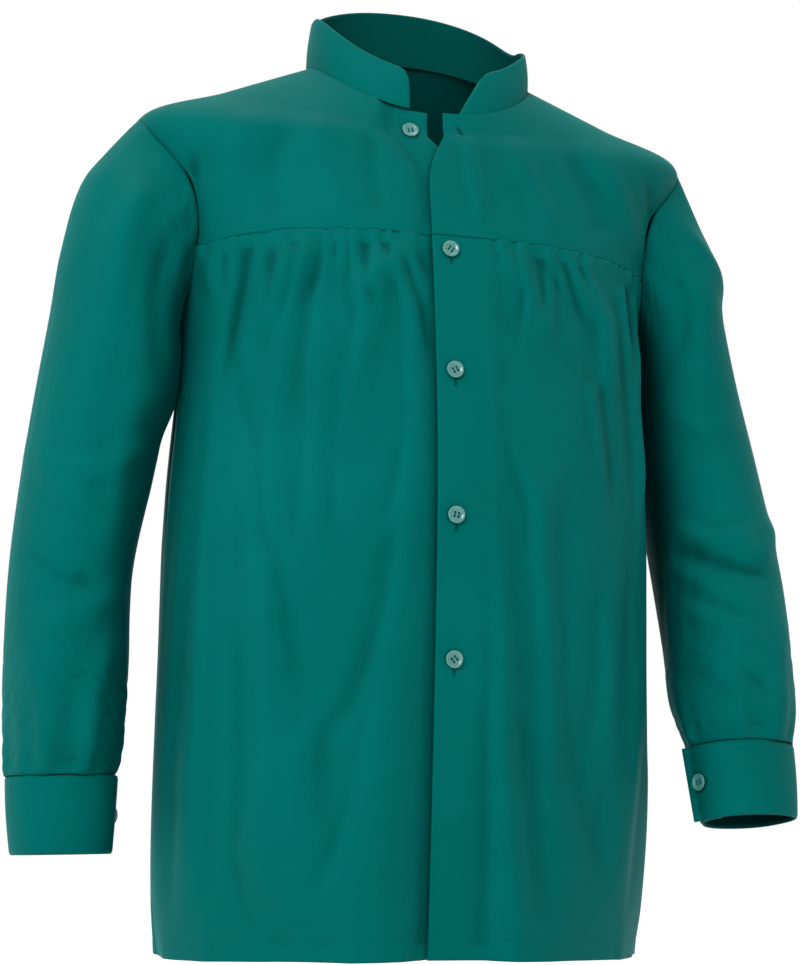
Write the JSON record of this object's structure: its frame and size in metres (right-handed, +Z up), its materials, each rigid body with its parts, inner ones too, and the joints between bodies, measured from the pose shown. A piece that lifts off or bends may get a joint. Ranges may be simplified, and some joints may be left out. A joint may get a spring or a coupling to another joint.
{
  "type": "patient smock",
  "caption": "Teal long-sleeved hospital smock with a stand collar, gathered yoke front that buttons, and buttoned cuffs; sleeves lift at the shoulders.",
  "frame": {"origin": "middle of the neck opening, at the height where the shoulders meet the collar", "axes": "+Z up towards the collar, -Y out of the buttoned front, +X towards the left sleeve as worn"},
  "size_m": [0.6734, 0.2882, 0.8369],
  "materials": {
    "teal_cloth": "satin-faced poplin weave with a soft sheen",
    "interlining": "stiff matt woven interlining",
    "button": "semi-gloss cast resin",
    "thread": "spun sewing thread"
  },
  "bodies": {
    "garment": {"back_panel": "teal_cloth", "back_yoke": "teal_cloth", "front_panel_left": "teal_cloth", "front_panel_right": "teal_cloth", "front_yoke_left": "teal_cloth", "front_yoke_right": "teal_cloth", "front_facing_left": "teal_cloth", "front_facing_right": "teal_cloth", "collar_outer": "teal_cloth", "collar_interlining": "interlining", "collar_inner": "teal_cloth"},
    "left_sleeve": {"sleeve_left": "teal_cloth", "sleeve_placket_left": "teal_cloth", "cuff_left": "teal_cloth", "cuff_interlining_left": "interlining", "cuff_lining_left": "teal_cloth"},
    "right_sleeve": {"sleeve_right": "teal_cloth", "sleeve_placket_right": "teal_cloth", "cuff_right": "teal_cloth", "cuff_interlining_right": "interlining", "cuff_lining_right": "teal_cloth"},
    "front_button_1_body": {"front_button_1": "button", "front_button_1_thread": "thread"},
    "front_button_2_body": {"front_button_2": "button", "front_button_2_thread": "thread"},
    "front_button_3_body": {"front_button_3": "button", "front_button_3_thread": "thread"},
    "front_button_4_body": {"front_button_4": "button", "front_button_4_thread": "thread"},
    "front_button_5_body": {"front_button_5": "button", "front_button_5_thread": "thread"},
    "cuff_button_left_body": {"cuff_button_left": "button", "cuff_button_left_thread": "thread"},
    "cuff_button_right_body": {"cuff_button_right": "button", "cuff_button_right_thread": "thread"}
  },
  "joints": [
    {"name": "shoulder_left", "type": "hinge", "parent": "garment", "child": "left_sleeve", "pos_m": [0.243, 0.008, -0.057], "axis": [0, -1, 0], "range_deg": [0, 60]},
    {"name": "shoulder_right", "type": "hinge", "parent": "garment", "child": "right_sleeve", "pos_m": [-0.243, 0.008, -0.057], "axis": [0, 1, 0], "range_deg": [0, 60]},
    {"name": "front_button_1_twist", "type": "hinge", "parent": "garment", "child": "front_button_1_body", "pos_m": [-0.02714, -0.08099, -0.06936], "axis": [-0.0245, -0.8986, 0.438], "range_deg": [-30, 30]},
    {"name": "front_button_2_twist", "type": "hinge", "parent": "garment", "child": "front_button_2_body", "pos_m": [0, -0.11653, -0.17581], "axis": [0, -0.977, 0.2132], "range_deg": [-30, 30]},
    {"name": "front_button_3_twist", "type": "hinge", "parent": "garment", "child": "front_button_3_body", "pos_m": [0, -0.13684, -0.27886], "axis": [0, -0.9878, 0.1558], "range_deg": [-30, 30]},
    {"name": "front_button_4_twist", "type": "hinge", "parent": "garment", "child": "front_button_4_body", "pos_m": [0, -0.14928, -0.39696], "axis": [0, -0.9989, 0.0471], "range_deg": [-30, 30]},
    {"name": "front_button_5_twist", "type": "hinge", "parent": "garment", "child": "front_button_5_body", "pos_m": [0, -0.15201, -0.51099], "axis": [0, -0.9999, 0.012], "range_deg": [-30, 30]},
    {"name": "cuff_button_left_twist", "type": "hinge", "parent": "left_sleeve", "child": "cuff_button_left_body", "pos_m": [0.23338, -0.09532, -0.60492], "axis": [-0.9336, -0.3522, 0.0659], "range_deg": [-30, 30]},
    {"name": "cuff_button_right_twist", "type": "hinge", "parent": "right_sleeve", "child": "cuff_button_right_body", "pos_m": [-0.24486, -0.01081, -0.64204], "axis": [0.9353, 0.3536, -0.0096], "range_deg": [-30, 30]}
  ]
}
